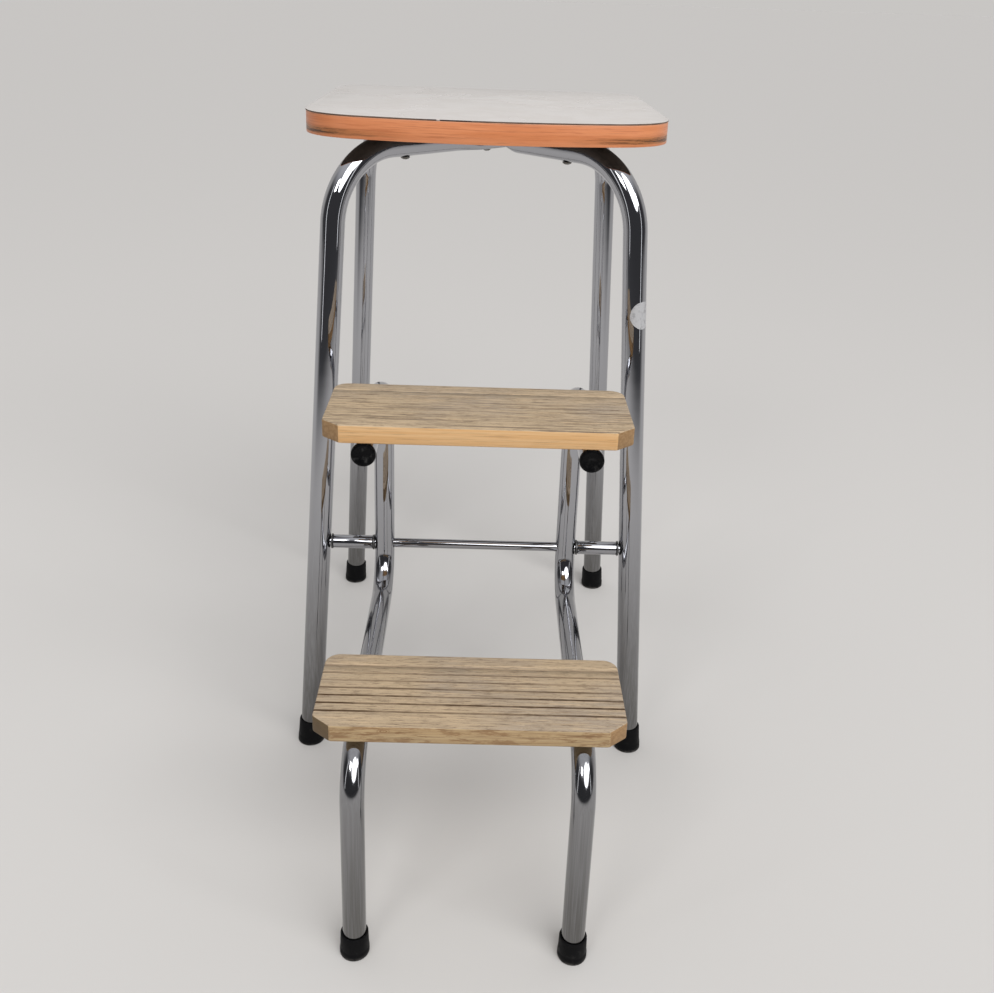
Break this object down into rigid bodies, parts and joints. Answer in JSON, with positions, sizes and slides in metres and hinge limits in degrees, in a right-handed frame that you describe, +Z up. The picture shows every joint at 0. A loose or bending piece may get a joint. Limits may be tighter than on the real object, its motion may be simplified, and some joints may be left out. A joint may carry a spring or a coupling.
{
  "type": "folding step stool",
  "caption": "Kitchen step stool with a laminated seat on crossed, splayed tube legs and a hinged unit of wooden treads that stows under the seat.",
  "frame": {"origin": "centre of the footprint of the stool with its steps out, on the floor", "axes": "+Z up, the steps towards -Y, +X to the right of someone who faces the steps"},
  "size_m": [0.3562, 0.6064, 0.63],
  "materials": {
    "chrome_tube": "polished",
    "dark_steel": "satin",
    "black_rubber": "satin",
    "dark_washer": "matte",
    "seat_laminate": "gloss laminate",
    "edge_band": "lacquered, worn streaks",
    "board_core": "raw",
    "step_wood": "worn lacquer"
  },
  "bodies": {
    "stool": {"leg_foot_front_left": "black_rubber", "leg_foot_front_right": "black_rubber", "leg_foot_rear_left": "black_rubber", "leg_foot_rear_right": "black_rubber", "leg_frame_left": "chrome_tube", "leg_frame_right": "chrome_tube", "pivot_rod": "chrome_tube", "seat_backing_sheet": "board_core", "seat_core_board": "board_core", "seat_edge_band": "edge_band", "seat_screw_centre": "dark_steel", "seat_screw_front_left": "dark_steel", "seat_screw_front_right": "dark_steel", "seat_screw_rear_left": "dark_steel", "seat_screw_rear_right": "dark_steel", "seat_top_laminate": "seat_laminate", "spacer_sleeve_left": "chrome_tube", "spacer_sleeve_right": "chrome_tube", "washer_inner_left": "dark_washer", "washer_inner_right": "dark_washer", "washer_outer_left": "dark_washer", "washer_outer_right": "dark_washer"},
    "step_unit": {"lower_step_board": "step_wood", "step_foot_left": "black_rubber", "step_foot_right": "black_rubber", "step_screw_lower_front_left": "dark_steel", "step_screw_lower_front_right": "dark_steel", "step_screw_lower_rear_left": "dark_steel", "step_screw_lower_rear_right": "dark_steel", "step_screw_upper_front_left": "dark_steel", "step_screw_upper_front_right": "dark_steel", "step_screw_upper_rear_left": "dark_steel", "step_screw_upper_rear_right": "dark_steel", "step_tube_left": "chrome_tube", "step_tube_right": "chrome_tube", "tube_plug_left": "black_rubber", "tube_plug_right": "black_rubber", "upper_step_board": "step_wood"}
  },
  "joints": [
    {"name": "step_fold", "type": "hinge", "parent": "stool", "child": "step_unit", "pos_m": [0, -0.01927, 0.226], "axis": [-1, 0, 0], "range_deg": [0, 180]}
  ]
}
